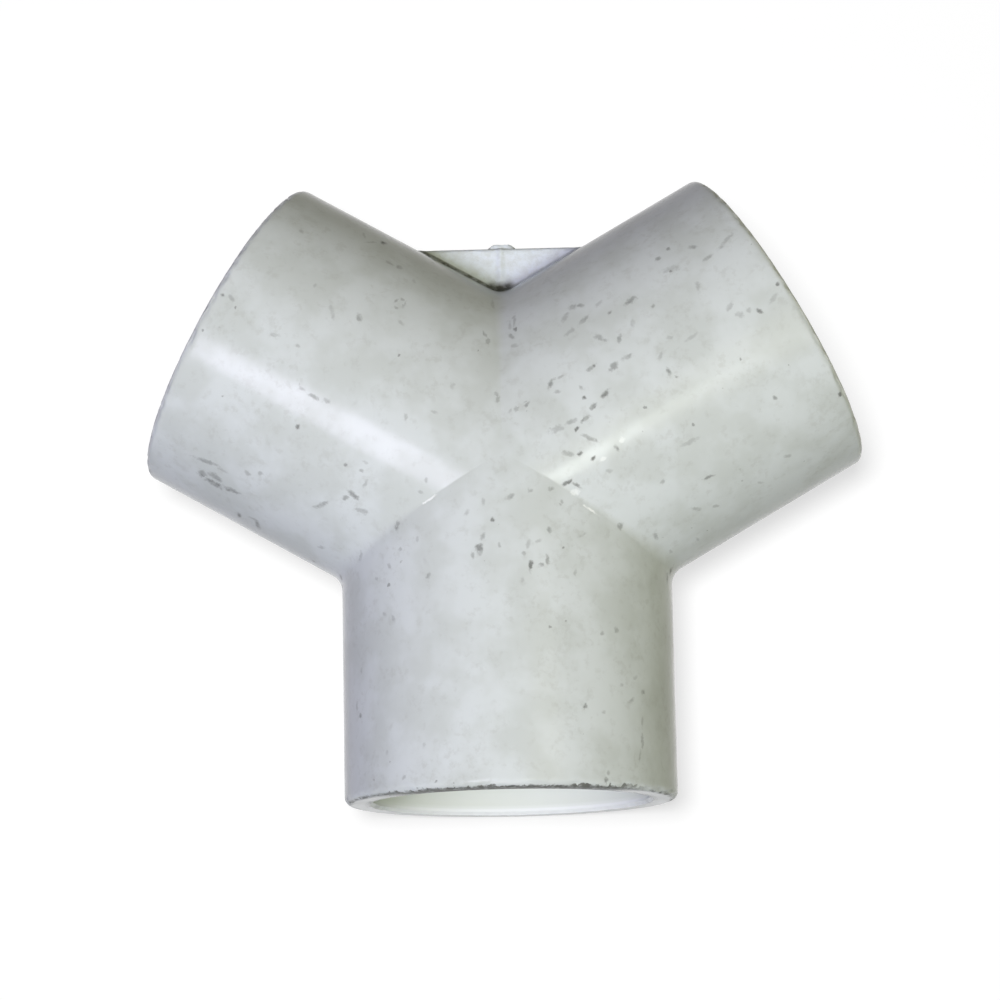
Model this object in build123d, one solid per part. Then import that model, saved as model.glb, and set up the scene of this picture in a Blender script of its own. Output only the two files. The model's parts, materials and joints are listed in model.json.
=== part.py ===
from build123d import *
from math import cos, radians, sin, tan
import os

# True wye pipe fitting, moulded in one piece of PVC: three equal solvent-cement
# sockets at 120 degrees.  Millimetres.  The three centrelines lie in the XY plane
# and cross at the origin; the single branch runs along -Y and the two arms run
# 30 degrees above +X and -X.  A mould parts along the XY plane.

# ---- driving dimensions -----------------------------------------------------

# sockets, for 1-1/2 in schedule 40 pipe, which is 48.26 across
land_diameter = 48.11         # straight seat at the bottom of the socket
socket_taper = 0.45           # how much wider the socket is at its mouth
socket_depth = 30.0           # mouth to pipe stop
land_length = 14.0            # straight seat, measured from the pipe stop
lead_in = 0.6                 # 45 degree lead-in at the mouth
stop_step = 3.05              # height of the pipe stop above the seat
stop_chamfer = 0.8            # inner edge of the pipe stop

# body
laying_length = 27.0          # crossing of the centrelines to each pipe stop
socket_wall = 4.92            # wall round the wide end of the socket
arm_rise = 30.0               # degrees that each arm stands above the X axis
crotch_radius = 4.0           # blend outside, where two barrels meet
junction_radius = 1.2         # edge inside, where two waterways meet
rim_chamfer = 0.8             # outer edge of each mouth

# web in the crotch between the arms
web_depth = 8.7               # arms' crotch to the web's outer face
web_thickness = 5.0
web_root_radius = 1.6         # blend from the web's sides into the arms
web_edge_radius = 0.7         # long edges of the web's outer face

# gate vestige, the trimmed stub of the sprue on the web's outer face
gate_width = 5.2
gate_thickness = 3.2
gate_height = 1.1
gate_edge_radius = 0.4

# ---- sizes that follow ------------------------------------------------------

land_radius = land_diameter / 2
entrance_radius = land_radius + socket_taper / 2
mouth_radius = entrance_radius + lead_in
waterway_radius = land_radius - stop_step
body_radius = entrance_radius + socket_wall
centre_to_mouth = laying_length + socket_depth

rise = radians(arm_rise)
branch_angles = (-90, arm_rise, 180 - arm_rise)
arms_crotch = body_radius / cos(rise)   # where the arms' outlines meet, on +Y
web_face = arms_crotch + web_depth      # Y of the web's outer face


def revolved(points):
    """Turn a profile of (distance along branch, radius) points about the branch.

    The profile hangs below the axis, so that the seam of every turned face runs
    along the underside.
    """
    return revolve(Rot(-90, 0, 0) * make_face(Polyline(*points, close=True)), Axis.X)


def barrel():
    """Outside of one branch, from the crossing to its mouth, along +X."""
    return revolved([
        (0, 0),
        (0, body_radius),
        (centre_to_mouth - rim_chamfer, body_radius),
        (centre_to_mouth, body_radius - rim_chamfer),
        (centre_to_mouth, 0),
    ])


def core():
    """Hollow of one branch, along +X: waterway, pipe stop, seat, taper, lead-in."""
    past_mouth = centre_to_mouth + lead_in
    return revolved([
        (0, 0),
        (0, waterway_radius),
        (laying_length - stop_chamfer, waterway_radius),
        (laying_length, waterway_radius + stop_chamfer),
        (laying_length, land_radius),
        (laying_length + land_length, land_radius),
        (centre_to_mouth - lead_in, entrance_radius),
        (centre_to_mouth, mouth_radius),
        (past_mouth, mouth_radius),
        (past_mouth, 0),
    ])


def three_way(branch, blend_radius):
    """Join one branch in each direction and blend the creases where they meet."""
    joined = Part() + [Rot(0, 0, angle) * branch for angle in branch_angles]
    return fillet(joined.edges().filter_by(GeomType.ELLIPSE), blend_radius)


def web():
    """Plate that fills the arms' crotch, with its outer face square to Y.

    The plate's point lies inside the body, and its two outer corners lie halfway
    through the arms' walls.
    """
    half_width = web_depth / tan(rise) + socket_wall / 2 / sin(rise)
    corners = [(0, waterway_radius), (half_width, web_face), (-half_width, web_face)]
    plate = extrude(make_face(Polyline(*corners, close=True)), web_thickness / 2, both=True)
    outer_face = plate.faces().sort_by(Axis.Y)[-1]
    return fillet(outer_face.edges().filter_by(Axis.X), web_edge_radius)


def gate_vestige():
    """Stub left where the sprue was trimmed off, in the middle of the web's face."""
    stub = Box(gate_width, 2 * gate_height, gate_thickness)
    outer_face = stub.faces().sort_by(Axis.Y)[-1]
    return Pos(0, web_face, 0) * fillet(outer_face.edges(), gate_edge_radius)


def with_web(body):
    """Add the web and its gate vestige, and blend the web's sides into the arms."""
    joined = body + web()
    sides = joined.faces().filter_by(Plane.XY)
    roots = sides.edges().filter_by(Axis.X, reverse=True)
    return fillet(roots, web_root_radius) + gate_vestige()


outside = with_web(three_way(barrel(), crotch_radius))
waterways = three_way(core(), junction_radius)
wye_body = outside - waterways

os.makedirs("parts", exist_ok=True)
export_step(wye_body, "parts/wye_body.step")
print(f"wye_body: {wye_body.volume:.0f} mm3, centroid {wye_body.center(CenterOf.MASS)}")
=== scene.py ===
import json
import logging
import math
from dataclasses import dataclass
from enum import Enum
from functools import partial, reduce
from typing import Any

import bmesh
import bpy
import numpy as np
from bpy.types import GeometryNodeTree, Material, Mesh, Node, NodeSocket, NodeTree, Object
from mathutils import Matrix, Vector


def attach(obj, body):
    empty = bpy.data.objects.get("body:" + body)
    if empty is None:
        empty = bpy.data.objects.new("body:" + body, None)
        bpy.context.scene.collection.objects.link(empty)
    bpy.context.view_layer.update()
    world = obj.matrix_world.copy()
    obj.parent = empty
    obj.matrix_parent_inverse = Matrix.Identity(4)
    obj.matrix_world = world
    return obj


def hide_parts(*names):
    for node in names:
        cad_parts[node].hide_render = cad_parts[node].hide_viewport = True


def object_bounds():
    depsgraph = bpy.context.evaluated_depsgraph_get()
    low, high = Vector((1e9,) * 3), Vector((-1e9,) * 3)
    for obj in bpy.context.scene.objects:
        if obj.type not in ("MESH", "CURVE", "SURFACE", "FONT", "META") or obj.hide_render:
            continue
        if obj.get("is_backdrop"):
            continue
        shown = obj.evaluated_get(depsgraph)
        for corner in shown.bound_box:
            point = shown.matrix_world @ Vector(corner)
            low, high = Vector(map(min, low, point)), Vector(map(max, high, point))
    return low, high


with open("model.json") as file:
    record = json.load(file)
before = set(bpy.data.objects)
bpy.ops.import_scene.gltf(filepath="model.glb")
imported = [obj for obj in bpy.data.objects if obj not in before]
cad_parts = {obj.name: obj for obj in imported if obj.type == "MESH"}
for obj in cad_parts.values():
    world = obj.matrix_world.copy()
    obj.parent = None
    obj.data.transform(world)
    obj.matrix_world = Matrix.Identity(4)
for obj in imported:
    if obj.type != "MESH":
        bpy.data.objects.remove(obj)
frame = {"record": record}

# A used, moulded PVC true wye: three equal sockets at 120 degrees and a flat web
# between the arms. It lies on its side, the single branch along -Y. Classes hold
# their sizes in millimetres, and meshes are made in metres.

MM = 0.001
Array = np.ndarray
Colour = tuple[float, float, float]
log = logging.getLogger("wye")

# Rise of each arm above the X axis, and lean of the planes that part the branches.
RISE = math.radians(30)

# Points nearer than this, in metres, are merged.
WELD = 1e-6

# What "past_edge" says in the sockets, and on the web and its stub.
IN_SOCKET = -8.0
ON_WEB = -9.0


class Branch(Enum):
    """The three branches, each with its heading in degrees from +X."""

    SINGLE = -90.0
    RIGHT = 30.0
    LEFT = 150.0

    def axes(self) -> tuple[Array, Array, Array]:
        """Unit vectors out along the branch, square to it on the flat, and up."""
        turn = math.radians(self.value)
        out = np.array([math.cos(turn), math.sin(turn), 0.0])
        up = np.array([0.0, 0.0, 1.0])
        return out, np.cross(out, up), up


class Lit(Enum):
    """What a lamp shines on."""

    FITTING = "fitting"
    FLOOR = "floor"


# ---- node and mesh helpers ------------------------------------------------------


class Graph:
    """Adds and joins nodes in one node tree."""

    def __init__(self, tree: NodeTree) -> None:
        """Start with an empty tree."""
        self.tree = tree
        tree.nodes.clear()

    def add(self, kind: str, inputs: dict[Any, Any] | None = None, **settings: Any) -> Node:
        """Add one node.

        Args:
            kind: The node's type.
            inputs: A value or another node's socket for each input, by name or number.
            **settings: The node's own properties.

        Returns:
            The new node.
        """
        node = self.tree.nodes.new(kind)
        for name, value in settings.items():
            setattr(node, name, value)
        for key, value in (inputs or {}).items():
            if isinstance(value, NodeSocket):
                self.tree.links.new(value, node.inputs[key])
            else:
                node.inputs[key].default_value = value
        return node

    def first(self, kind: str, inputs: dict[Any, Any] | None = None, **settings: Any) -> NodeSocket:
        """Add one node and return its first output."""
        return self.add(kind, inputs, **settings).outputs[0]

    def math(self, operation: str, a: Any, b: Any = 0.0) -> NodeSocket:
        """Work out one number from two."""
        return self.first("ShaderNodeMath", {0: a, 1: b}, operation=operation)

    def product(self, *numbers: Any) -> NodeSocket:
        """Multiply numbers."""
        return reduce(partial(self.math, "MULTIPLY"), numbers)

    def largest(self, *numbers: Any) -> NodeSocket:
        """Pick the largest of some numbers."""
        return reduce(partial(self.math, "MAXIMUM"), numbers)

    def vector(self, operation: str, a: Any, b: Any) -> NodeSocket:
        """Work out one vector from two."""
        return self.first("ShaderNodeVectorMath", {0: a, 1: b}, operation=operation)

    def scale(self, vector: Any, times: Any) -> NodeSocket:
        """Multiply a vector by a number."""
        return self.first("ShaderNodeVectorMath", {0: vector, 3: times}, operation="SCALE")

    def ease(self, value: Any, low: float, high: float, bottom: float = 0.0, top: float = 1.0) -> NodeSocket:
        """Smooth step of a value from bottom at low to top at high."""
        inputs = {0: value, 1: low, 2: high, 3: bottom, 4: top}
        return self.first("ShaderNodeMapRange", inputs, interpolation_type="SMOOTHSTEP")

    def near(self, value: Any, middle: float, far: float, close: float, bottom: float = 0.0,
             top: float = 1.0) -> NodeSocket:
        """Smooth step from bottom, where a value is far from a middle one, to top close to it."""
        gap = self.math("ABSOLUTE", self.math("SUBTRACT", value, middle))
        return self.ease(gap, far, close, bottom, top)

    def noise(self, place: Any, scale: Any, detail: float = 2.0, rough: float = 0.5) -> Node:
        """Noise texture over a place."""
        inputs = {"Vector": place, "Scale": scale, "Detail": detail, "Roughness": rough}
        return self.add("ShaderNodeTexNoise", inputs)

    def attribute(self, name: str) -> Any:
        """Outputs that read one of the mesh's attributes."""
        return self.add("ShaderNodeAttribute", attribute_name=name).outputs

    def direct(self) -> NodeSocket:
        """1 for the camera's own rays and those of shine, and 0 for diffuse ones."""
        ray = self.add("ShaderNodeLightPath").outputs
        return self.largest(*(ray[f"Is {kind} Ray"] for kind in ("Camera", "Glossy", "Transmission")))


def steps(end: float, count: int) -> Array:
    """Even steps from just after 0 up to an end."""
    return np.linspace(0, end, count + 1)[1:]


def slerp(start: Array, end: Array, share: float) -> Array:
    """Turn unit vectors part of the way towards others.

    Args:
        start: Unit vectors, one per row.
        end: Unit vectors, one per row.
        share: How far to turn, from 0 at start to 1 at end.

    Returns:
        The turned unit vectors.
    """
    turn = np.arccos(np.clip((start * end).sum(1), -1.0, 1.0))[:, None]
    safe = np.maximum(np.sin(turn), 1e-9)
    mixed = (np.sin((1 - share) * turn) * start + np.sin(share * turn) * end) / safe
    mixed = np.where(turn < 1e-6, start, mixed)
    return mixed / np.linalg.norm(mixed, axis=1, keepdims=True)


def grid_faces(rows: int, columns: int, closed: bool) -> list[tuple[int, ...]]:
    """Quads of a grid whose points are stored row by row.

    Args:
        rows: Number of rows.
        columns: Number of points in a row.
        closed: True if the last column joins the first.

    Returns:
        The faces, as vertex numbers.
    """
    last = columns if closed else columns - 1
    return [
        (r * columns + c, r * columns + (c + 1) % columns,
         (r + 1) * columns + (c + 1) % columns, (r + 1) * columns + c)
        for r in range(rows - 1)
        for c in range(last)
    ]


def put(name: str, data: Any) -> Object:
    """Make an object of some data at the origin and put it in the scene."""
    made = bpy.data.objects.new(name, data)
    bpy.context.scene.collection.objects.link(made)
    return made


def mesh_object(name: str, rows: list[Array], faces: list[tuple[int, ...]]) -> Object:
    """Make a mesh object and put it in the scene.

    Args:
        name: The object's name.
        rows: Vertices in millimetres, row by row.
        faces: Vertex numbers of each face.

    Returns:
        The new object.
    """
    mesh = bpy.data.meshes.new(name)
    mesh.from_pydata((np.concatenate(rows) * MM).tolist(), [], faces)
    mesh.update()
    return put(name, mesh)


def give(target: Object, name: str, values: Array) -> None:
    """Store one number per vertex on a mesh, under a name that materials and trees read."""
    layer = target.data.attributes.new(name, "FLOAT", "POINT")
    layer.data.foreach_set("value", values.astype(np.float32))


def face_outwards(work: bmesh.types.BMesh) -> None:
    """Point the faces of every closed shell outwards.

    Args:
        work: Mesh of one or more closed shells, which may overlap.
    """
    bmesh.ops.recalc_face_normals(work, faces=work.faces)
    left = set(work.faces)
    while left:
        front = [left.pop()]
        shell = []
        while front:
            face = front.pop()
            shell.append(face)
            beside = {other for edge in face.edges for other in edge.link_faces} & left
            left -= beside
            front.extend(beside)
        volume = sum(f.calc_center_median().dot(f.normal) * f.calc_area() for f in shell)
        if volume < 0:
            bmesh.ops.reverse_faces(work, faces=shell)


def seal(mesh: Mesh) -> None:
    """Merge a mesh's doubles, close its ends and point its faces outwards."""
    work = bmesh.new()
    work.from_mesh(mesh)
    bmesh.ops.remove_doubles(work, verts=work.verts, dist=WELD)
    bmesh.ops.holes_fill(work, edges=[e for e in work.edges if e.is_boundary], sides=0)
    face_outwards(work)
    work.to_mesh(mesh)
    work.free()


# ---- shapes ---------------------------------------------------------------------


@dataclass
class BranchSkin:
    """Skin of one branch, outside and inside, from the junction to its mouth.

    The branch runs along +X, and the skin ends on the two upright planes that part
    it from its neighbours. A ball rolled along each crease leaves the blends.
    """

    body_radius: float
    reach: float
    land_radius: float
    land_start: float
    land_length: float
    stop_step: float = 3.05
    mouth_widening: float = 0.225
    lead_in: float = 0.6
    crotch_radius: float = 4.0
    crest_radius: float = 1.3
    junction_radius: float = 1.2
    rim_radius: float = 1.3
    stop_radius: float = 0.8
    columns: int = 240
    crotch_rows: int = 6
    barrel_rows: int = 58
    barrel_bunching: float = 1.12
    rim_rows: int = 7
    face_rows: int = 4
    lead_in_rows: int = 2
    taper_rows: int = 7
    land_rows: int = 5
    stop_rows: int = 5
    bore_rows: int = 10
    junction_rows: int = 3

    def around(self) -> Array:
        """Angles of the columns, from one side and over the top."""
        return np.arange(self.columns) * (2 * math.pi / self.columns)

    def ring(self, along: Any, radius: float) -> Array:
        """One row of points round the branch."""
        turn = self.around()
        return np.stack([along + 0 * turn, radius * np.cos(turn), radius * np.sin(turn)], 1)

    def sweep(self, start: tuple[Any, float], end: tuple[Any, float], shares: Array) -> list[Array]:
        """Rows from one ring to another, each given as its distance along and its radius."""
        return [self.ring(*(a + (b - a) * share for a, b in zip(start, end))) for share in shares]

    def crotch_blend(self) -> Array:
        """Radius of the outer blend per column, tighter where the crease runs out on top."""
        sideways = np.cos(self.around()) ** 2
        return self.crest_radius + (self.crotch_radius - self.crest_radius) * sideways

    def blend_end(self, radius: float, blend: Any) -> Array:
        """Distance along the branch at which the blend leaves the barrel, per column."""
        return (radius + blend) * np.abs(np.cos(self.around())) * math.tan(RISE)

    def blend_rows(self, radius: float, blend: Any, count: int) -> list[Array]:
        """Half of the blend that a rolling ball leaves between two neighbours.

        Args:
            radius: Radius of the barrels or waterways that meet.
            blend: Radius of the ball, or one radius for each column.
            count: Steps from the parting plane to the barrel.

        Returns:
            Rows of points, the first on the parting plane and the last on the barrel.
        """
        turn = self.around()
        reach, up = np.abs(np.cos(turn)), np.sin(turn)
        own = np.stack([0 * reach, reach, up], 1)
        other = np.stack([reach * math.cos(RISE), reach * math.sin(RISE), up], 1)
        ball = (blend + 0 * turn)[:, None]
        centre = (radius + ball) * own
        centre[:, 0] = self.blend_end(radius, blend)
        rows = [centre - ball * slerp(own, other, 0.5 - 0.5 * s / count) for s in range(count + 1)]
        hand = np.where(np.cos(turn) < 0, -1.0, 1.0)
        return [np.stack([row[:, 0], row[:, 1] * hand, row[:, 2]], 1) for row in rows]

    def outside(self) -> list[Array]:
        """Rows from the junction to the start of the mouth's rounded edge."""
        blend = self.crotch_blend()
        start = (self.blend_end(self.body_radius, blend), self.body_radius)
        end = (self.reach - self.rim_radius, self.body_radius)
        shares = 1 - (1 - steps(1, self.barrel_rows)) ** self.barrel_bunching
        rows = self.blend_rows(self.body_radius, blend, self.crotch_rows)
        return rows + self.sweep(start, end, shares)

    def mouth(self) -> list[Array]:
        """Rows over the mouth's rounded edge, across its face and down the lead-in."""
        rows = []
        for turn in np.radians(steps(90, self.rim_rows)):
            rows.append(self.ring(self.reach - self.rim_radius * (1 - math.sin(turn)),
                                  self.body_radius - self.rim_radius * (1 - math.cos(turn))))
        entrance = self.land_radius + self.mouth_widening
        outer = (self.reach, self.body_radius - self.rim_radius)
        inner = (self.reach, entrance + self.lead_in)
        rows += self.sweep(outer, inner, steps(1, self.face_rows))
        return rows + self.sweep(inner, (self.reach - self.lead_in, entrance), steps(1, self.lead_in_rows))

    def socket(self) -> list[Array]:
        """Rows down the taper and the seat, over the pipe stop and into the junction."""
        top = (self.reach - self.lead_in, self.land_radius + self.mouth_widening)
        seat = (self.land_start + self.land_length, self.land_radius)
        rows = self.sweep(top, seat, steps(1, self.taper_rows))
        rows += self.sweep(seat, (self.land_start, self.land_radius), steps(1, self.land_rows))
        bore = self.land_radius - self.stop_step
        rows.append(self.ring(self.land_start, self.land_radius - self.stop_step / 2))
        for turn in np.radians(np.linspace(0, 90, self.stop_rows)):
            rows.append(self.ring(self.land_start - self.stop_radius * (1 - math.cos(turn)),
                                  bore + self.stop_radius * (1 - math.sin(turn))))
        start = (self.land_start - self.stop_radius, bore)
        end = (self.blend_end(bore, self.junction_radius), bore)
        rows += self.sweep(start, end, steps(1, self.bore_rows))
        return rows + self.blend_rows(bore, self.junction_radius, self.junction_rows)[-2::-1]

    def build(self) -> Object:
        """Make the skin, with each vertex's distance past the mouth's outer edge.

        The distance grows along the barrel, and is negative on the mouth's face.

        Returns:
            The skin's object.
        """
        shown = self.outside() + self.mouth()
        rows = shown + self.socket()
        made = mesh_object("branch_skin", rows, grid_faces(len(rows), self.columns, True))
        points = np.concatenate(rows)
        past = self.reach - points[:, 0] - (self.body_radius - np.hypot(points[:, 1], points[:, 2]))
        past[len(shown) * self.columns:] = IN_SOCKET
        give(made, "past_edge", past)
        return made


@dataclass
class Web:
    """Flat plate in the crotch between the arms, blended into both.

    Attributes:
        tuck: How far the plate's first row lies in the wall, sideways and down.
        overrun: How far past the outer face the root's path runs before it is cut.
        rib_run: Share of the way to the outer face over which the ridge rises.
    """

    body_radius: float
    crotch_radius: float
    outer_face: float = 42.42
    thickness: float = 5.0
    root_radius: float = 1.6
    edge_radius: float = 0.7
    rib_height: float = 0.42
    rib_width: float = 0.6
    rib_run: float = 0.25
    tuck: tuple[float, float] = (1.4, 0.3)
    overrun: float = 3.2
    crotch_points: int = 12
    arm_points: int = 40
    root_rows: int = 10
    flat_rows: int = 18
    edge_rows: int = 5

    def root_path(self) -> tuple[Array, Array]:
        """Line that the blend's ball follows, seen from above.

        Returns:
            Points, and unit directions into the wall, from the left arm round the
            crotch to the right arm.
        """
        height = self.thickness / 2 + self.root_radius
        offset = math.sqrt((self.body_radius + self.root_radius) ** 2 - height**2)
        spine = math.sqrt((self.body_radius + self.crotch_radius) ** 2 - height**2)
        middle = np.array([0.0, spine / math.cos(RISE)])
        arm = np.array([math.cos(RISE), math.sin(RISE)])
        inward = np.array([math.sin(RISE), -math.cos(RISE)])
        corner = middle + (spine - offset) * inward
        end = (self.outer_face + self.overrun - corner[1]) / arm[1]
        turns = np.linspace(0, RISE, self.crotch_points + 1)[:-1]
        ways = [np.array([math.sin(turn), -math.cos(turn)]) for turn in turns]
        points = [middle + (spine - offset) * way for way in ways]
        points += [corner + arm * end * share for share in np.linspace(0, 1, self.arm_points + 1)]
        ways += [inward] * (self.arm_points + 1)
        flip = np.array([-1.0, 1.0])
        return (np.concatenate([points[:0:-1] * flip, points]),
                np.concatenate([ways[:0:-1] * flip, ways]))

    def row(self, x: Array, y: Array, height: Any) -> Array:
        """One row of points, kept behind the outer face and under its rounded edge."""
        lie = np.clip(y - (self.outer_face - self.edge_radius), 0, self.edge_radius)
        drop = self.edge_radius - np.sqrt(self.edge_radius**2 - lie**2)
        return np.column_stack([x, np.minimum(y, self.outer_face), height + 0 * lie - drop])

    def upper_rows(self) -> list[Array]:
        """Rows of the upper half, out of the wall, over the blend and the flat, to the middle."""
        path, way = self.root_path()
        half = self.thickness / 2
        centre = half + self.root_radius
        touch = -math.asin(centre / (self.body_radius + self.root_radius))
        aside, down = self.tuck
        out = self.root_radius * math.cos(touch) + aside
        rows = [self.row(*(path + way * out).T, centre + self.root_radius * math.sin(touch) - down)]
        for turn in np.linspace(touch, -math.pi / 2, self.root_rows):
            out = self.root_radius * math.cos(turn)
            rows.append(self.row(*(path + way * out).T, centre + self.root_radius * math.sin(turn)))
        x, y = path.T
        start = self.outer_face - self.edge_radius
        rib = self.rib_height * np.exp(-((x / self.rib_width) ** 2))
        for share in steps(1, self.flat_rows):
            rise = rib * min(1.0, share / self.rib_run)
            rows.append(self.row(x, y + share * np.maximum(start - y, 0), half + rise))
        for turn in np.radians(steps(90, self.edge_rows)):
            edge = start + self.edge_radius * math.sin(turn)
            rows.append(self.row(x, np.maximum(y, edge), half + rib))
        for share in (0.5, 0.0):
            level = (half - self.edge_radius) * share
            rows.append(np.column_stack([x, np.full(len(x), self.outer_face), 0 * x + level]))
        return rows

    def grime_and_shade(self, x: Array, row: int) -> Array:
        """Grime and painted shade on one upper row: along the root, less to the right, and deep in the
        crotch.
        """
        root = np.clip(0.75 - x / 2, 0.4, 1.0) * np.interp(row, (6, 8), (1, 0))
        return np.maximum(root, np.exp(-((x / 2.0) ** 4)) * np.interp(row, (8, 13), (1, 0)))

    def build(self) -> Object:
        """Make the plate as one closed mesh, with soiling and painted shade along its root."""
        upper = self.upper_rows()
        rows = upper + [row * np.array([1.0, 1.0, -1.0]) for row in upper[-2::-1]]
        count = len(rows[0])
        last = (len(rows) - 1) * count
        faces = grid_faces(len(rows), count, False)
        faces += [(last + c, last + c + 1, c + 1, c) for c in range(count - 1)]
        made = mesh_object("web", rows, faces)
        x = self.root_path()[0][:, 0]
        root = [self.grime_and_shade(x, row) for row in range(len(upper))]
        # Soiling and painted shade along the root, stronger on the left and deep in the crotch.
        give(made, "root_grime", np.concatenate(root + root[-2::-1]))
        give(made, "past_edge", np.full(len(made.data.vertices), ON_WEB))
        seal(made.data)
        return made


@dataclass
class GateStub:
    """Stub on the web's outer face where the sprue was broken off and left rough.

    Attributes:
        rings: Share of the height, the width and the thickness at each ring from the
        web outwards, and how much soiling and painted shade the ring's ends get.
        torn: First ring of the torn end.
    """

    outer_face: float
    width: float = 5.4
    thickness: float = 3.2
    height: float = 1.05
    offset: float = 0.2
    squareness: float = 0.3
    roughness: float = 0.18
    seed: int = 4
    columns: int = 48
    torn: int = 6
    rings: tuple[tuple[float, float, float, float], ...] = (
        (-0.6, 1.0, 1.0, 1.0), (0.0, 1.0, 1.0, 1.0), (0.3, 0.86, 1.0, 0.75),
        (0.6, 0.72, 0.97, 0.2), (0.8, 0.63, 0.92, 0.0), (0.95, 0.56, 0.8, 0.0),
        (1.0, 0.42, 0.55, 0.0), (1.0, 0.22, 0.25, 0.0), (1.0, 0.0, 0.0, 0.0),
    )

    def build(self) -> Object:
        """Make the stub as rings that narrow towards a torn end."""
        rng = np.random.default_rng(self.seed)
        count = self.columns
        turn = np.arange(count) * (2 * math.pi / count)
        wide, thick = (np.sign(wave) * np.abs(wave) ** self.squareness
                       for wave in (np.cos(turn), np.sin(turn)))
        drawn = np.tile(rng.normal(0, 1, count), 3)
        uneven = np.convolve(drawn, np.ones(3) / 3, "same")[count: 2 * count]
        rows = []
        for k, (lift, share, share_z, _) in enumerate(self.rings):
            rough = self.roughness * (uneven if k < self.torn else rng.normal(0, 0.6, count))
            rough = rough * (0.2 if k < 2 else 1)
            bite = 0.8 * np.abs(rough) * (k >= self.torn - 1) * (share > 0)
            rows.append(np.stack([
                self.offset + (self.width / 2 + rough) * share * wide,
                self.outer_face + self.height * lift - bite,
                (self.thickness / 2 + 0.3 * rough) * share_z * thick,
            ], 1))
        made = mesh_object("gate_stub", rows, grid_faces(len(rows), count, True))
        ends = np.clip(np.abs(np.cos(turn)) * 1.6 - 0.6, 0, 1)
        # Soiling and painted shade round the stub's base.
        give(made, "root_grime", np.outer([ring[3] for ring in self.rings], ends).ravel())
        give(made, "past_edge", np.full(len(made.data.vertices), ON_WEB))
        seal(made.data)
        return made


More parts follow.
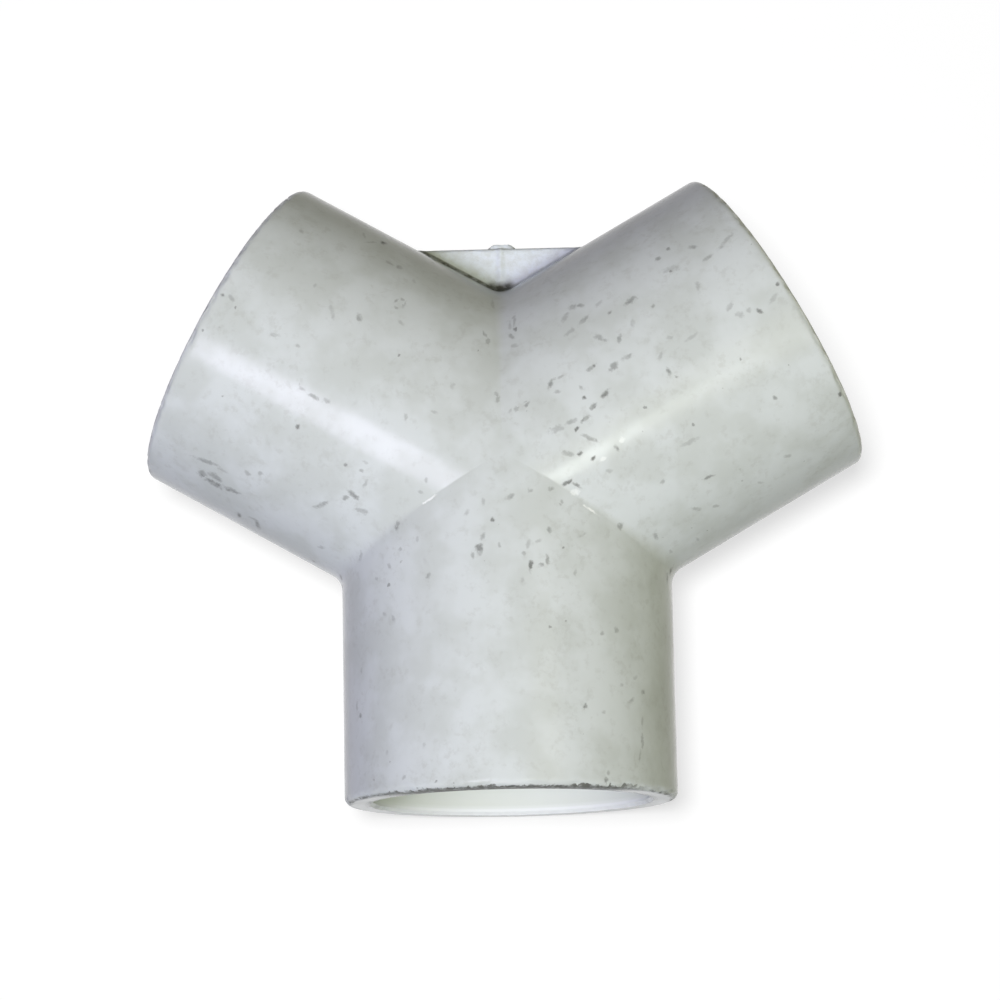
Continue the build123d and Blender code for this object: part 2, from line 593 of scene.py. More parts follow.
@dataclass
class Moulding:
    """Geometry Nodes tree that makes the whole body from one branch's skin.

    It turns the skin into place once per branch, merges the seams, adds the web and
    its stub, lets the surface sink a little as moulded walls do, and wears the rims.
    """

    branches: int = 3
    sink_depth: float = 0.05
    sink_size: float = 14.0
    chip_depth: float = 0.3
    chip_size: float = 1.3

    def tree(self, extras: list[Object]) -> GeometryNodeTree:
        """Build the tree.

        Args:
            extras: Closed pieces that stand once on the body.

        Returns:
            The tree, with a named input for each of its sizes.
        """
        tree = bpy.data.node_groups.new("moulding", "GeometryNodeTree")
        kinds = {"Geometry": "Geometry", "Branches": "Int", "Sink Depth": "Float", "Sink Size": "Float",
                 "Chip Depth": "Float", "Chip Size": "Float", "Finish": "Material"}
        for name, kind in kinds.items():
            tree.interface.new_socket(name, in_out="INPUT", socket_type=f"NodeSocket{kind}")
        tree.interface.new_socket("Geometry", in_out="OUTPUT", socket_type="NodeSocketGeometry")
        g = Graph(tree)
        given = g.add("NodeGroupInput").outputs
        points = g.first("GeometryNodePoints", {"Count": given["Branches"]})
        step = g.math("DIVIDE", 2 * math.pi, given["Branches"])
        turn = g.math("MULTIPLY", g.first("GeometryNodeInputIndex"), step)
        heading = g.first("ShaderNodeCombineXYZ", {"Z": g.math("SUBTRACT", turn, math.pi / 2)})
        turned = g.first("FunctionNodeEulerToRotation", {0: heading})
        placed = g.first("GeometryNodeInstanceOnPoints", {
            "Points": points, "Instance": given["Geometry"], "Rotation": turned})
        whole = g.first("GeometryNodeRealizeInstances", {0: placed})
        whole = g.first("GeometryNodeMergeByDistance", {"Geometry": whole, "Distance": WELD})
        joined = g.add("GeometryNodeJoinGeometry", {0: whole})
        for extra in extras:
            info = g.add("GeometryNodeObjectInfo", {"Object": extra})
            tree.links.new(info.outputs["Geometry"], joined.inputs[0])
        worn = self.sink(g, joined.outputs[0], given)
        worn = self.chip(g, worn, given)
        real = g.first("GeometryNodeRealizeInstances", {0: worn})
        dressed = g.first("GeometryNodeSetMaterial", {
            "Geometry": real, "Material": given["Finish"]})
        g.add("NodeGroupOutput", {0: dressed})
        return tree

    def noise(self, g: Graph, size: NodeSocket, detail: float) -> NodeSocket:
        """Noise over the body that changes over a size in millimetres."""
        place = g.first("GeometryNodeInputPosition")
        return g.noise(place, g.math("DIVIDE", 1 / MM, size), detail).outputs[0]

    def push(self, g: Graph, shape: NodeSocket, share: NodeSocket, depth: NodeSocket) -> NodeSocket:
        """Push the surface inwards by a share of a depth in millimetres."""
        normal = g.first("GeometryNodeInputNormal")
        inward = g.scale(normal, g.math("MULTIPLY", share, g.math("MULTIPLY", depth, -MM)))
        return g.first("GeometryNodeSetPosition", {"Geometry": shape, "Offset": inward})

    def sink(self, g: Graph, shape: NodeSocket, given: Any) -> NodeSocket:
        """Sink the walls by soft noise, never outwards."""
        return self.push(g, shape, self.noise(g, given["Sink Size"], 2.0), given["Sink Depth"])

    def chip(self, g: Graph, shape: NodeSocket, given: Any) -> NodeSocket:
        """Knock small chips out of the mouths' outer edges."""
        edge = g.add("GeometryNodeInputNamedAttribute", {"Name": "past_edge"}, data_type="FLOAT")
        near = g.math("MULTIPLY", g.near(edge.outputs[0], 0.0, 1.4, 0.3), edge.outputs["Exists"])
        spots = g.ease(self.noise(g, given["Chip Size"], 1.0), 0.5, 0.68)
        return self.push(g, shape, g.math("MULTIPLY", spots, near), given["Chip Depth"])

    def run(self, skin: Object, extras: list[Object], finish: Material) -> Mesh:
        """Grow the body on the skin's object and return it as a plain mesh."""
        modifier = skin.modifiers.new("moulding", "NODES")
        modifier.node_group = self.tree(extras)
        values = {"Branches": self.branches, "Sink Depth": self.sink_depth, "Sink Size": self.sink_size,
                  "Chip Depth": self.chip_depth, "Chip Size": self.chip_size, "Finish": finish}
        for item in modifier.node_group.interface.items_tree:
            if item.in_out == "INPUT" and item.name in values:
                modifier[item.identifier] = values[item.name]
        ready = skin.evaluated_get(bpy.context.evaluated_depsgraph_get())
        return bpy.data.meshes.new_from_object(ready)


# ---- marks on the barrels, dark and pale; a few pale ones are painted highlights ---


@dataclass(frozen=True)
class BarrelMark:
    """One mark on a barrel.

    Attributes:
        along: Distance of its middle from the centre of the fitting.
        around: Degrees from the top of the barrel, to the right of the way out.
        length: Its longer size.
        width: Its shorter size.
        turn: Degrees that it is turned from the branch towards that side.
        depth: How dark it is, from 0 to 1, or below 0 for a pale one; the pale ones across the creases are
            painted highlights, the rest pale scrapes.
    """

    along: float
    around: float
    length: float
    width: float
    turn: float = 0.0
    depth: float = 0.6


# The marks of each branch, each as the values of a BarrelMark in their order; the pale ones across the
# creases are painted highlights.
BARREL_MARKS: dict[Branch, tuple[tuple[float, ...], ...]] = {
    Branch.RIGHT: (
        (41, -33, 1.3, 1.1), (43.6, -34.5, .8, .8), (47, -29.5, 1.7, 1, 30), (42, -26, 3.5, 1.4, 20, .3),
        (48, -22.3, 2.4, .9, 0, .45), (52.5, -24.5, 4.5, .9, -20, .3), (24, -34, 1.8, 1.2, 30, .45),
        (25.2, -32.5, 1.5, 1, 50, .55), (21.8, -31.5, 2.2, 1.2, -40, .4), (24, -26.3, 2.8, .9, -20, .5),
        (21, -25, 2.4, .9, -10, .35), (28.7, -23.5, .9, .8), (32.8, -23.2, 2.6, 1.3, -5, .6),
        (28, -29, 2, 1, -20, .25), (8.5, -41.8, 1.8, .9, 80, .55), (12.4, -37, 1.9, .8, 85, .5),
        (12, -32.3, 1.4, 1, 40, .35), (13.4, -42.5, 2.6, .7, 110, .3), (4.4, -17.8, 1.7, .8, 110, .5),
        (24.7, -17, 2.6, 1.2, 60, .5), (27.4, -13, 2.2, .9, -55, .6), (35.3, -17, .9, .8, 0, .65),
        (43.8, -14.6, 2.3, 1, 110, .35), (30.9, -15.5, 2, .9, 110, .3), (13.4, -11.7, 2.7, .9, -35, .7),
        (15.4, -11.8, 1.1, .6, 10, .4), (7.9, -9.6, 1.4, .7, -15, .6), (5.2, -10.6, 1.6, .6, 0, .4),
        (13.5, -8, 1.2, .7, 20, .45), (20.5, -9, 2.3, .8, -15, .7), (24, -5.4, 2.2, 1.3, -10, .6),
        (26.8, -5.9, 2.2, .9, 0, .5), (34.7, -4.2, 1.3, .8, 20, .3), (16.8, -1.4, .8, .7, 0, .9),
        (17.3, -5, 1, .6, 90, .4), (10, 3, 3.2, 1.3, 10, .35), (12.8, 3.2, 2.2, 1, 5, .45),
        (13.1, 6.4, 1.3, .9, 0, 1), (15.2, 4.8, 2.4, .8, -10, .75), (17.4, 2.6, 1.7, .9, -20, .8),
        (20.4, 1, 2.2, .9, -15, .85), (31.6, 5.4, 1.5, .8, 110, .7), (31.8, -.3, 1.8, .7, -30, .4),
        (38, -.4, 3, .7, 0, .25), (46.4, -2.8, 1.9, .9, -30, .35), (47.1, 1.6, 1.5, 1.1, 60, .35),
        (48.9, 1.8, 1.2, .9, -30, .35), (50.4, 4, 1.5, .9, 50, .85), (53.4, 2.7, 2.4, .8, -20, .3),
        (55.5, -1, .9, .7, 0, .8), (9.6, 12, 2.6, .9, 50, .5), (13.9, 10.8, 3, .9, 55, .55),
        (11.3, 14, 1, .8, 0, .9), (12.9, 17.6, 1.2, .7, -20, .9), (.8, 16, 1, .7, 0, .4),
        (3.9, 19, 1.1, .8, 30, .6), (4.2, 24.6, .9, .8, 0, .5), (7, 20.1, 2.2, .8, 0, .95),
        (8.2, 22.6, 2.2, .7, 60, .85), (17.2, 18.6, 1.6, .8, 90, .7), (14.2, 24, 1.3, .9, 30, .35),
        (21.4, 37.6, 1.2, .9, -30, .5), (11.3, 43.6, 1.3, 1, 0, .55), (28.6, 30, 3.4, .8, 5, .35),
        (45.3, 32.2, 1.1, .8, 60, .65), (28.7, 45.5, 2.4, .8, 12, .7), (24.5, 55, 2.4, .9, 50, .55),
        (28, 59.2, 1.7, .8, 40, .4), (43, 56, 2, .8, 30, .35), (16.1, 56.2, 1.7, .9, 90, .5),
        # Pale marks here: the one at 7.3 along is a painted highlight by the crease; those at 18.6 and 14.3
        # along are pale chips.
        (36.9, 60.8, 1.5, .7, 50, .3), (7.3, 24.4, 1.5, 1.1, 20, -.7), (18.6, 17.3, 1.2, .9, 0, -.6),
        (14.3, 19.5, 1.3, .8, 0, -.5), (17.6, 69, 1.8, .7, 80, .35), (22.8, 71.5, 1.9, .7, 80, .3),
        (55.7, 44, .9, 1.1, 0, .9),
    ),
    Branch.LEFT: (
        (34, -76.5, 4, 1, 80, .7), (37.6, -78, 2.6, .9, 100, .75), (35, -74, 1.8, .8, -20, .5),
        (40.2, -63.3, 4, 1.5, -10, .65), (43.2, -64.6, 3.6, 2, 0, .75), (45.8, -63, 2.4, 1.8, -50, .7),
        (43.4, -60.6, 3, 1.6, 10, .6), (45.8, -55.8, 5, 1, -12, .5), (42.4, -55.5, 2, .8, 0, .3),
        (38, -51, 1.3, .9, 20, .4), (35.9, -48.3, 1.2, .9, -30, .4), (23.8, -47.8, 3.4, 1, -55, .65),
        (16.8, -41.5, 2.4, 1.1, -15, .45), (19.4, -37.6, 2.2, 1.2, 10, .7), (20.4, -40, 1.6, .9, -40, .55),
        (18.3, -32, 1.8, .6, 100, .35), (22.7, -29, .75, .75, 0, 1), (33.1, -25.3, .8, .8, 0, .9),
        (19.7, -28.2, .9, .7, 0, .45), (19.9, -25, 1.2, .6, 10, .35), (9.1, -20.3, 1.1, .7, 60, .5),
        (9, -25, 1, .7, 0, .4), (10.2, -40, 1.2, 1, 60, .6), (8, -48.5, 1.2, .9, -20, .5),
        (6, -41.2, 1, .8, 30, .45), (1.7, -53, 1.9, .8, 90, .75), (14.1, -59, 2.4, .8, 80, .4),
        (21.4, -68, 1.7, 1, -40, .4), (10, -68.8, 1.5, .8, 90, .35), (8.8, -59, 1, .8, 0, .35),
        (30.6, -12.8, 1.3, .9, -20, .45), (32.8, -13.6, 2.8, .8, 0, .5), (35.2, -13, 1.6, .7, 5, .35),
        (17.3, -5, 1.2, .7, 60, .35), (39.5, -1, 1, .7, 0, .35), (43.8, -1.4, 2, .7, -20, .3),
        (13.3, 1.2, 1.6, .6, -10, .3), (55.3, 2, .8, .7, 0, .9), (53.8, 2.8, 1.4, .9, 20, .4),
        (13, 12.2, 1.4, .9, 60, .3), (1.5, 15, 1.2, .9, -50, .45), (.4, 18.4, 1, .9, 0, .7),
        (5.2, 15.8, 1.9, .7, 70, .4), (33, 18, 1.7, 1.1, 60, .55), (37.4, 15, 3, .8, 50, .3),
        (42.5, 21, 1, .6, 90, .25), (27.7, 31.4, 1.8, .6, 80, .45), (29.3, 31.4, 1.8, .6, 100, .45),
        (28.5, 33.2, 1.3, .6, 0, .45), (28.5, 28.8, 1, .7, 0, .5), (26.4, 24.2, 1.8, .7, 20, .3),
        (12, 34.8, 1.5, .8, 60, .55), (9, 43, 1.3, .9, 40, .7), (10.2, 47, 3.6, .6, 70, .35),
        (15.6, 57, 3.4, .8, 70, .4), (50.2, 39.6, 1.2, .9, 40, .25), (28.9, 44.6, 1.6, .7, 50, .3),
        (32.5, 48.2, 1.6, 1.3, 40, .55), (34.4, 47.4, 1.8, .9, 0, .4), (37.9, 59.3, 2.1, 1.2, 90, 1),
        # The last mark, a pale one, is a painted highlight along the crease with the single branch.
        (39.6, 54.5, 2.4, .7, 120, .35), (41.4, 57, 3, .6, 60, .3), (7.2, -26, 3.4, .5, -62, -.9),
    ),
    Branch.SINGLE: (
        (40.2, -52.5, 1, 1.2, 0, .6), (45.5, -51.8, 2.2, .7, 5, .35), (48.6, -51.4, 2.6, .8, 5, .5),
        (51.2, -50, 2, .6, 10, .4), (41.9, -46.4, 2.2, .7, 60, .4), (38, -48.5, 1.4, .7, 60, .25),
        (39.4, -42, 1, .7, 60, .3), (44.2, -34, 1, .8, 60, .35), (54.6, -35.2, 1, .7, 0, .5),
        (55.7, -34.2, .9, .8, 0, .9), (43.2, -27, .95, .8, 0, .85), (30, -40.4, 1.1, 1.2, 60, .45),
        (30.8, -34, .9, .8, 0, .4), (20.6, -24.4, 1.2, .6, 20, .35), (14.2, -27, 2.6, .6, 60, .25),
        (18.6, -14.6, 1.8, .7, 0, .6), (19.4, -12.8, 1.3, .8, 70, .65), (19.6, -8.9, 2.3, .8, 0, .9),
        (17.6, -6.7, .9, .7, -30, .6), (13.5, -15.5, 1.2, .8, 0, .55), (15.9, -8.2, 1.4, .8, 20, .35),
        (15.4, -12, 1.4, .8, 60, .3), (7.8, -2.4, 1.9, .9, 60, .5), (6.7, -9.2, 1.1, .7, 0, .4),
        (6.4, -16, 1, .8, 0, .4), (8.5, -20, .9, .7, 0, .4), (11.7, 3.5, 1.2, .8, 0, .85),
        (8.4, 6.4, 1.3, .8, 0, .35), (14.4, 6.8, 1.4, .9, 30, .5), (16.6, 8, 2, 1.4, 10, .75),
        (17.6, 10.2, 1.4, .7, -10, .5), (16, 1.4, 1.1, .6, 0, .4), (10.2, 12, 1.2, .8, 40, .3),
        (20.5, 26.2, 1.4, .8, 20, .55), (14, 30.3, 1.2, .7, 0, .4), (11, 38.4, 1.3, .9, 0, .5),
        (15.4, 37.6, .9, .8, 60, .45), (17.9, 42.6, 1.3, .8, -30, .35), (27.2, 41, 1.2, .8, -30, .3),
        (26.2, 45.2, 1.2, .8, -40, .35), (19.8, 49, 1.1, .7, 90, .3), (42.8, 60.6, 1.2, .9, 90, .85),
        (41, 63.5, 1.8, 1.1, 0, .35), (35, 59.6, 1.2, .9, 0, .25), (54.4, 37.2, 1.2, .9, 60, .35),
        (49.3, 29, .9, .7, 0, .25), (50, 45, .9, .7, 0, .25), (22, -6, 1, .6, 20, .25),
        (17.3, -79, 1.9, 1.5, 0, .75), (19, -75, 2.1, 1.3, 0, .75), (17.2, 80, 1.8, 1.3, 60, .7),
        # The last mark, a pale one, is a painted highlight along the crease with the right arm.
        (18.9, 83, 1.9, 1.3, 0, .65), (9.7, -30.9, 3.6, .5, -62, -1),
    ),
}


@dataclass
class MarkLayer:
    """Lays the marks on the mesh, as a place within the nearest mark at each face corner; a few pale marks
    are painted highlights.

    A material reads that place, so that a scuff keeps its own outline however coarse
    the faces under it are.

    Attributes:
        swell: How much larger a scuff is laid than listed, as its ragged edge fades.
        room: Distance past a scuff's edge up to which faces belong to it.
        shell: Height off the barrel within which a face can be marked.
        unmarked: What corners away from every scuff say.
    """

    body_radius: float
    swell: float = 1.18
    room: float = 1.6
    shell: float = 2.0
    unmarked: tuple[float, float, float] = (9.0, 9.0, 0.0)

    def lay(self, mesh: Mesh) -> int:
        """Write the face-corner attribute "scuff".

        Args:
            mesh: The finished body.

        Returns:
            The number of scuffs laid.
        """
        middles = np.empty(len(mesh.polygons) * 3)
        mesh.polygons.foreach_get("center", middles)
        middles = middles.reshape(-1, 3) / MM
        best = np.full(len(middles), np.inf)
        chosen = np.full(len(middles), -1)
        frames = []
        for branch, barrel_marks in BARREL_MARKS.items():
            out, side, up = branch.axes()
            for scuff in (BarrelMark(*values) for values in barrel_marks):
                lean, turn = math.radians(scuff.around), math.radians(scuff.turn)
                normal = math.sin(lean) * side + math.cos(lean) * up
                across = math.cos(lean) * side - math.sin(lean) * up
                u = math.cos(turn) * out + math.sin(turn) * across
                v = math.cos(turn) * across - math.sin(turn) * out
                place = scuff.along * out + self.body_radius * normal
                apart = middles - place
                length, width = (size * self.swell / 2 for size in (scuff.length, scuff.width))
                far = np.hypot(apart @ u / length, apart @ v / width) - 1
                far = np.where(np.abs(apart @ normal) < self.shell, far * width, np.inf)
                nearer = (far < best) & (far < self.room)
                best[nearer] = far[nearer]
                chosen[nearer] = len(frames)
                frames.append((place, u / length, v / width, scuff.depth))
        self.write(mesh, chosen, frames)
        # The number of marks laid.
        return len(frames)

    def write(self, mesh: Mesh, chosen: Array, frames: list[tuple[Any, ...]]) -> None:
        """Store each corner's place in the mark chosen for its face, and that mark's depth."""
        corners = np.empty(len(mesh.loops), int)
        mesh.loops.foreach_get("vertex_index", corners)
        sizes = np.empty(len(mesh.polygons), int)
        mesh.polygons.foreach_get("loop_total", sizes)
        points = np.empty(len(mesh.vertices) * 3)
        mesh.vertices.foreach_get("co", points)
        points = points.reshape(-1, 3)[corners] / MM
        owner = np.repeat(chosen, sizes)
        places, us, vs, depths = (np.array(part) for part in zip(*frames))
        apart = points - places[owner]
        values = np.stack([
            (apart * us[owner]).sum(1), (apart * vs[owner]).sum(1), depths[owner]], 1)
        values[owner < 0] = self.unmarked
        layer = mesh.attributes.new("scuff", "FLOAT_VECTOR", "CORNER")
        layer.data.foreach_set("vector", values.astype(np.float32).ravel())


# ---- finish ---------------------------------------------------------------------


@dataclass(frozen=True)
class Spot:
    """What the finish reads at a shaded point: where it lies, and noise at three sizes.

    Attributes:
        place: Object position in millimetres.
        axis: The position's X, Y and Z, by name.
        past: Distance past a mouth's outer edge, negative on the mouth's face.
        web: 1 on the web and its stub, and 0 elsewhere.
        single: 1 at the single branch's mouth, and 0 elsewhere.
        broad: Three channels that change over about a centimetre.
        middle: Three channels that change over about a millimetre and a half.
        middle_all: The middle channels as one vector.
        fine_all: Three channels that change over about half a millimetre, as one vector.
    """

    place: NodeSocket
    axis: Any
    past: NodeSocket
    web: NodeSocket
    single: NodeSocket
    broad: Any
    middle: Any
    middle_all: NodeSocket
    fine_all: NodeSocket

    @classmethod
    def read(cls, g: Graph, single_mouth: float) -> "Spot":
        """Add the nodes to a material's tree.

        Args:
            g: The material's graph.
            single_mouth: Distance along -Y past which only the single branch's mouth lies.

        Returns:
            The sockets to read.
        """
        place = g.scale(g.add("ShaderNodeTexCoord").outputs["Object"], 1 / MM)
        axis = g.add("ShaderNodeSeparateXYZ", {0: place}).outputs
        past = g.attribute("past_edge")["Fac"]
        web = g.ease(past, -8.4, -8.8)
        single = g.ease(axis["Y"], -single_mouth + 2, -single_mouth - 2)
        sizes = ((0.11, 3, 0.55), (0.7, 3, 0.63), (1.5, 3, 0.65))
        broad, middle, fine = (g.noise(place, *size).outputs["Color"] for size in sizes)
        broad_parts, middle_parts = (
            g.add("ShaderNodeSeparateColor", {0: colour}).outputs for colour in (broad, middle))
        return cls(place, axis, past, web, single, broad_parts, middle_parts, middle, fine)


@dataclass(frozen=True)
class WornPvc:
    """Pale grey moulded PVC that has been handled, knocked and stored dirty, with painted shade along the
    web's root and painted highlights on two creases and on the single mouth's lower lip.

    Attributes:
        single_mouth: Distance along -Y past which only the single branch's mouth lies.
        face_end: What "past_edge" says at the inner edge of a mouth's face.
        fleck_shade: How dark the strewn flecks are.
        sand_height: Height of the grain on the barrels, and on the web.
        sweep_height: Height of the slow waves in the surface.
        line_height: Height of the parting line.
    """

    clean: Colour = (0.662, 0.695, 0.69)
    stained: Colour = (0.59, 0.62, 0.60)
    film: Colour = (0.40, 0.405, 0.37)
    mark: Colour = (0.195, 0.20, 0.19)
    # Near-white for pale scrapes and rubbed edges, and for painted highlights on two creases and on the
    # single mouth's lower lip.
    scrape_and_highlight: Colour = (0.93, 0.95, 0.93)
    inside: Colour = (0.79, 0.82, 0.755)
    torn: Colour = (0.80, 0.86, 0.92)
    # Dark grey for soiling on the rims, and for soiling and painted shade along the web's root.
    grime_and_shade: Colour = (0.10, 0.10, 0.085)
    roughness: float = 0.15
    dirty_roughness: float = 0.5
    shine: float = 0.13
    ior: float = 1.46
    single_mouth: float = 50.0
    face_end: float = -4.4
    fleck_shade: float = 0.62
    sand_height: tuple[float, float] = (0.005, 0.09)
    sweep_height: float = 0.025
    line_height: float = 0.04

    def build(self) -> Material:
        """Make the material."""
        made = bpy.data.materials.new("worn_pvc")
        made.use_nodes = True
        g = Graph(made.node_tree)
        spot = Spot.read(g, self.single_mouth)
        mottle = g.ease(spot.broad[0], 0.36, 0.64)
        smear = g.ease(g.noise(spot.place, 0.42, 4, 0.66).outputs[0], 0.53, 0.72, 0.0, 0.22)
        specks = g.product(g.ease(spot.middle[1], 0.5, 0.68, 0.0, 0.22), g.ease(spot.broad[1], 0.47, 0.6))
        sheltered = g.product(g.ease(spot.past, self.face_end, self.face_end - 0.8),
                              g.ease(spot.past, -8.8, -8.4))
        torn = g.product(spot.web, g.ease(spot.middle[0], 0.35, 0.65, 0.45, 0.9))
        fleck = self.flecks(g, spot)
        dark, pale = self.barrel_marks(g, spot)
        # Soiling on the rims, and soiling with painted shade along the web's root.
        dirt_and_shade = g.largest(self.rim_dirt(g, spot), self.root_dirt_and_shade(g, spot))
        colour = (*self.clean, 1.0)
        for share, coat in (
            (mottle, self.stained),
            (g.largest(smear, specks), self.film),
            (sheltered, self.inside),
            (torn, self.torn),
            (g.product(fleck, self.fleck_shade), self.mark),
            (dark, self.mark),
            # Pale scrapes, and painted highlights along the creases.
            (pale, self.scrape_and_highlight),
            # Rubbed edges on the arms' rims, and a painted highlight on the single mouth's lower lip.
            (self.rim_wear_and_highlight(g, spot), self.scrape_and_highlight),
            # Soiling, with painted shade along the web's root.
            (dirt_and_shade, self.grime_and_shade),
        ):
            mixed = g.add("ShaderNodeMix", {0: share, 6: colour, 7: (*coat, 1.0)}, data_type="RGBA")
            colour = mixed.outputs[2]
        rough = g.ease(g.largest(dark, fleck, dirt_and_shade), 0.0, 1.0, self.roughness, self.dirty_roughness)
        shader = g.first("ShaderNodeBsdfPrincipled", {
            "Base Color": colour, "Roughness": g.math("ADD", rough, g.product(mottle, 0.05)),
            "Normal": self.relief(g, spot), "IOR": self.ior, "Specular IOR Level": self.shine})
        g.add("ShaderNodeOutputMaterial", {0: shader})
        return made

    def flecks(self, g: Graph, spot: Spot) -> NodeSocket:
        """Small dark flecks strewn at random, more of them in some places."""
        bent = g.vector("ADD", spot.place, g.scale(spot.fine_all, 0.9))
        cell = g.add("ShaderNodeTexVoronoi", {"Vector": bent, "Scale": 0.36, "Randomness": 1.0})
        luck = g.add("ShaderNodeSeparateColor", {0: cell.outputs["Color"]})
        size = g.product(g.ease(luck.outputs[0], 0.55, 1.0, 0.0, 0.17),
                         g.ease(spot.broad[1], 0.42, 0.6, 0.35, 1.0))
        return g.ease(g.math("SUBTRACT", size, cell.outputs["Distance"]), 0.0, 0.05)

    def barrel_marks(self, g: Graph, spot: Spot) -> tuple[NodeSocket, NodeSocket]:
        """The laid marks, with ragged outlines; the pale ones include painted highlights.

        Args:
            g: The material's graph.
            spot: What is known of the shaded point.

        Returns:
            How dark the mark is here, and how pale it is, for scrapes and for painted highlights.
        """
        laid = g.attribute("scuff")["Vector"]
        depth = g.add("ShaderNodeSeparateXYZ", {0: laid}).outputs["Z"]
        ragged = g.vector("ADD", g.vector("MULTIPLY", spot.fine_all, (1.3, 1.3, 0)),
                          g.vector("MULTIPLY", spot.middle_all, (1.5, 1.5, 0)))
        ragged = g.vector("SUBTRACT", ragged, (1.4, 1.4, 0))
        flat = g.vector("MULTIPLY", g.vector("ADD", laid, ragged), (1.0, 1.0, 0.0))
        reach = g.add("ShaderNodeVectorMath", {0: flat}, operation="LENGTH").outputs["Value"]
        broken = g.ease(spot.middle[2], 0.3, 0.6, 0.6, 1.05)
        body = g.product(g.ease(reach, 1.06, 0.3), broken)
        # Pale marks: scrapes, and painted highlights along the creases.
        pale = g.largest(g.product(depth, -1.0), 0.0)
        return g.product(body, g.largest(depth, 0.0)), g.product(body, pale)

    def rim_wear_and_highlight(self, g: Graph, spot: Spot) -> NodeSocket:
        """How pale the mouths' edges are: rubbed on the arms' rims, and a painted highlight over the lower
        face and lip of the single branch's mouth.
        """
        # Lower face and lip of the single branch's mouth: a painted highlight.
        below = g.product(spot.single, g.ease(spot.axis["Z"], 2.0, -14.0))
        lip = g.product(g.near(spot.past, -4.5, 1.0, 0.4, 0.35, 1.0), g.ease(spot.past, 0.3, -0.6))
        # Pale rubbed edges on the arms' rims.
        arms = g.product(g.ease(spot.axis["Y"], -self.single_mouth + 8, -self.single_mouth + 12),
                         g.near(spot.past, -0.6, 1.2, 0.5, 0.0, 0.5))
        return g.product(g.ease(spot.past, -6.5, -5.5), g.largest(g.product(below, lip), arms))

    def rim_dirt(self, g: Graph, spot: Spot) -> NodeSocket:
        """Grime on the mouths' edges, heaviest along the top of the single branch's face."""
        spread = g.math("ADD", g.ease(spot.middle[0], 0.35, 0.68, -1.1, 0.35),
                        g.ease(spot.axis["X"], -6.0, 20.0, 0.0, 0.5))
        outer = g.ease(g.math("SUBTRACT", spot.past, spread), 0.25, -0.15)
        face = g.product(outer, g.ease(spot.past, self.face_end, self.face_end + 0.5))
        rubbed = g.ease(spot.middle[1], 0.32, 0.55, 0.45, 0.9)
        top = g.product(face, g.ease(spot.axis["Z"], 14.0, 23.0), rubbed, spot.single)
        arc = g.near(spot.past, -0.8, 0.9, 0.15)
        lip = g.near(spot.past, -4.0, 0.5, 0.1, 0.0, 0.7)
        gaps = g.ease(spot.middle[2], 0.44, 0.58, 0.0, 0.75)
        above = g.ease(spot.axis["Z"], -12.0, -4.0, 0.15, 1.0)
        ends = g.product(g.largest(arc, lip), gaps, above, g.ease(spot.single, 0.0, 1.0, 0.25, 1.0))
        return g.largest(top, ends)

    def root_dirt_and_shade(self, g: Graph, spot: Spot) -> NodeSocket:
        """Grime and painted shade along the web's root and round its stub."""
        broken = g.ease(spot.middle[1], 0.3, 0.6, 0.6, 0.95)
        return g.product(g.ease(g.attribute("root_grime")["Fac"], 0.1, 0.95), broken)

    def relief(self, g: Graph, spot: Spot) -> NodeSocket:
        """The surface's normal, with its fine grain and the parting line round the outside."""
        sand = g.noise(spot.place, 2.2, 2, 0.6).outputs[0]
        sweep = g.noise(spot.place, 0.5, 1, 0.5).outputs[0]
        sand = g.product(sand, g.ease(spot.web, 0.0, 1.0, *self.sand_height))
        line = g.product(g.near(spot.axis["Z"], 0.0, 0.28, 0.12, 0.0, self.line_height),
                         g.ease(spot.past, -0.6, 0.2))
        height = g.math("ADD", g.math("ADD", sand, g.product(sweep, self.sweep_height)), line)
        return g.first("ShaderNodeBump", {"Height": height, "Distance": MM, "Strength": 1.0})


# ---- the fitting ----------------------------------------------------------------


@dataclass
class WyeFitting:
    """The whole fitting, which is one piece of plastic.

    Attributes:
        sharp: Degrees between two faces from which their edge is sharp.
    """

    skin: BranchSkin
    web: Web
    stub: GateStub
    moulding: Moulding
    marking: MarkLayer
    finish: WornPvc
    sharp: float = 38.0

    @classmethod
    def from_frame(cls, low: Vector, record: dict[str, Any]) -> "WyeFitting":
        """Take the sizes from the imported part.

        Args:
            low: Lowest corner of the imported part.
            record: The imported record.

        Returns:
            The fitting, not built yet.
        """
        radius, reach = -low.z / MM, -low.y / MM
        mount = record["mounts"][0]
        length = mount["dims"]["length_mm"]
        seat = Vector(mount["pos_m"]).length / MM - length / 2
        skin = BranchSkin(radius, reach, mount["dims"]["r_mm"], seat, length)
        web = Web(radius, skin.crotch_radius)
        return cls(skin, web, GateStub(web.outer_face), Moulding(), MarkLayer(radius), WornPvc())

    def build(self) -> Object:
        """Make the piece, dress it and hang it on the frame."""
        skin, web, stub = self.skin.build(), self.web.build(), self.stub.build()
        mesh = self.moulding.run(skin, [web, stub], self.finish.build())
        for used in (skin, web, stub):
            bpy.data.objects.remove(used)
        seal(mesh)
        mesh.materials.pop(index=0)
        mesh.polygons.foreach_set("material_index", np.zeros(len(mesh.polygons), dtype=np.int32))
        mesh.shade_smooth()
        mesh.set_sharp_from_angle(angle=math.radians(self.sharp))
        count = self.marking.lay(mesh)
        piece = put("wye_fitting", mesh)
        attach(piece, "root")
        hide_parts("wye_body")
        log.info("wye_fitting: %d faces, %d scuffs", len(mesh.polygons), count)
        return piece


# ---- studio ---------------------------------------------------------------------


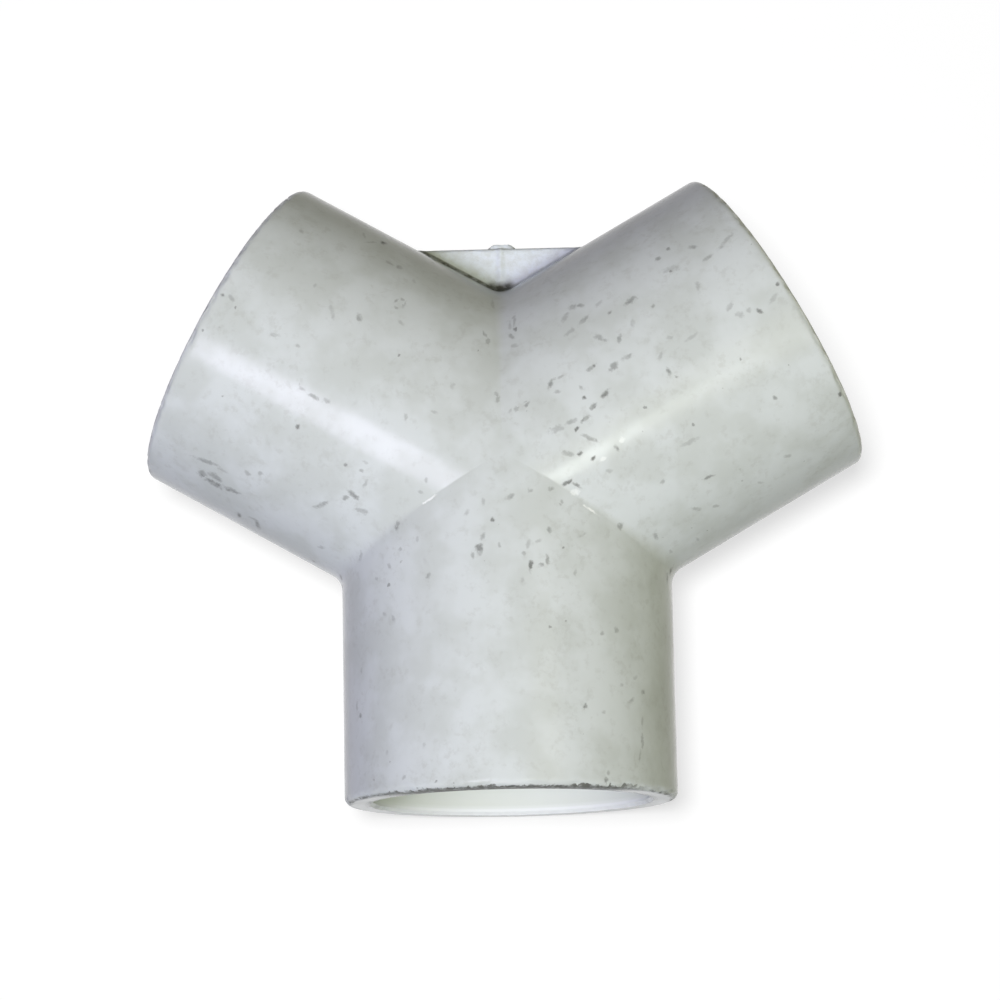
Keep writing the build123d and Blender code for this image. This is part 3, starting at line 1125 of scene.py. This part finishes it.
@dataclass
class Floor:
    """Plain pale floor that the camera sees as white, with the fitting's shadow.

    Attributes:
        glow: Light that it gives off towards the camera and shiny surfaces.
        seen: Grey that those see lit.
        bounce: Grey that it shows to diffuse rays, so that it lights little from below.
    """

    level: float
    half_size: float = 2500.0
    glow: float = 0.70
    seen: float = 0.36
    bounce: float = 0.06

    def build(self) -> Object:
        """Make the floor and mark it as stage."""
        signs = np.array([(-1, -1), (1, -1), (1, 1), (-1, 1)])
        corners = np.column_stack([signs * self.half_size, np.full(4, self.level)])
        made = mesh_object("floor", [corners], [(0, 1, 2, 3)])
        paint = bpy.data.materials.new("white_floor")
        paint.use_nodes = True
        g = Graph(paint.node_tree)
        lit, dull = (g.first("ShaderNodeBsdfDiffuse", {"Color": (grey, grey, grey, 1.0)})
                     for grey in (self.seen, self.bounce))
        own = g.first("ShaderNodeEmission", {"Color": (1, 1, 1, 1), "Strength": self.glow})
        white = g.first("ShaderNodeAddShader", {0: lit, 1: own})
        front = g.first("ShaderNodeMixShader", {0: g.direct(), 1: dull, 2: white})
        camera = g.add("ShaderNodeLightPath").outputs["Is Camera Ray"]
        under = g.product(g.add("ShaderNodeNewGeometry").outputs["Backfacing"], camera)
        clear = g.first("ShaderNodeBsdfTransparent")
        both = g.first("ShaderNodeMixShader", {0: under, 1: front, 2: clear})
        g.add("ShaderNodeOutputMaterial", {0: both})
        made.data.materials.append(paint)
        made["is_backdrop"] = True
        return made


@dataclass
class Lamp:
    """Round soft lamp that faces the fitting."""

    name: str
    way: tuple[float, float, float]
    colour: Colour
    power: float
    size: float
    shines_on: Lit
    distance: float = 900.0

    def build(self, lit: Object) -> Object:
        """Make the lamp.

        Args:
            lit: The one object that it shines on.

        Returns:
            The lamp object.
        """
        data = bpy.data.lights.new(self.name, "AREA")
        data.shape = "DISK"
        data.size = self.size * MM
        data.energy = self.power
        data.color = self.colour
        made = put(self.name, data)
        way = Vector(self.way).normalized()
        made.location = way * self.distance * MM
        made.rotation_mode = "QUATERNION"
        made.rotation_quaternion = way.to_track_quat("Z", "Y")
        reached = bpy.data.collections.new(f"{self.name}_reaches")
        reached.objects.link(lit)
        made.light_linking.receiver_collection = reached
        return made


@dataclass
class Studio:
    """Soft lamps and a pale surround.

    The two keys leave the highlights along the arms, and the fills leave none.

    Attributes:
        surround: How strongly the white surround lights by diffuse rays.
    """

    surround: float = 0.02

    def lamps(self) -> list[Lamp]:
        """The lamps: two keys, two broad fills, and one for the floor's shadow."""
        return [
            Lamp("key_left", (-0.335, -0.298, 0.90), (0.84, 0.81, 0.99), 5.7, 300, Lit.FITTING),
            Lamp("key_right", (0.273, -0.301, 0.915), (0.92, 1.0, 0.93), 1.5, 150, Lit.FITTING),
            Lamp("fill_right", (0.42, -0.15, 0.9), (1.0, 0.92, 0.45), 1.9, 500, Lit.FITTING),
            Lamp("fill_front", (0.0, -0.6, 0.8), (0.75, 0.96, 1.0), 1.0, 500, Lit.FITTING),
            Lamp("floor_light", (-0.06, -0.085, 1.0), (1.0, 1.0, 1.0), 7.5, 175, Lit.FLOOR),
        ]

    def build(self, fitting: Object, floor: Object) -> None:
        """Set up the lamps and the world."""
        for lamp in self.lamps():
            lamp.build(fitting if lamp.shines_on is Lit.FITTING else floor)
        world = bpy.data.worlds.new("surround")
        bpy.context.scene.world = world
        world.use_nodes = True
        g = Graph(world.node_tree)
        strength = g.ease(g.direct(), 0.0, 1.0, self.surround, 1.0)
        sky = g.add("ShaderNodeBackground", {"Color": (1, 1, 1, 1), "Strength": strength})
        g.add("ShaderNodeOutputWorld", {0: sky.outputs[0]})
        bpy.context.scene.view_settings.view_transform = "Standard"


@dataclass
class ViewCamera:
    """Camera that looks down on the fitting, a little from the single branch's side."""

    azimuth: float = 5.78
    elevation: float = 79.76
    roll: float = -7.0
    distance: float = 625.8
    aim: tuple[float, float, float] = (-0.96, -3.07, 0.0)
    lens: float = 126.6
    sensor: float = 36.0
    nearest: float = 10.0

    def build(self) -> Object:
        """Make the camera and give it to the scene."""
        data = bpy.data.cameras.new("camera")
        data.lens, data.sensor_width, data.clip_start = self.lens, self.sensor, self.nearest * MM
        made = put("camera", data)
        a, e, r = (math.radians(v) for v in (self.azimuth, self.elevation, self.roll))
        back = Vector((math.sin(a) * math.cos(e), -math.cos(a) * math.cos(e), math.sin(e)))
        flat = Vector((math.cos(a), math.sin(a), 0.0))
        up = back.cross(flat)
        right = math.cos(r) * flat + math.sin(r) * up
        top = math.cos(r) * up - math.sin(r) * flat
        placed = Matrix((right, top, back)).transposed().to_4x4()
        placed.translation = (Vector(self.aim) + self.distance * back) * MM
        made.matrix_world = placed
        bpy.context.scene.camera = made
        return made


def main() -> None:
    """Build the scene."""
    logging.basicConfig(level=logging.INFO, format="%(name)s: %(message)s")
    low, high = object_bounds()
    ViewCamera().build()
    fitting = WyeFitting.from_frame(low, frame["record"]).build()
    floor = Floor(low.z / MM).build()
    Studio().build(fitting, floor)
    log.info("sizes written")


if __name__ == "__main__":
    main()
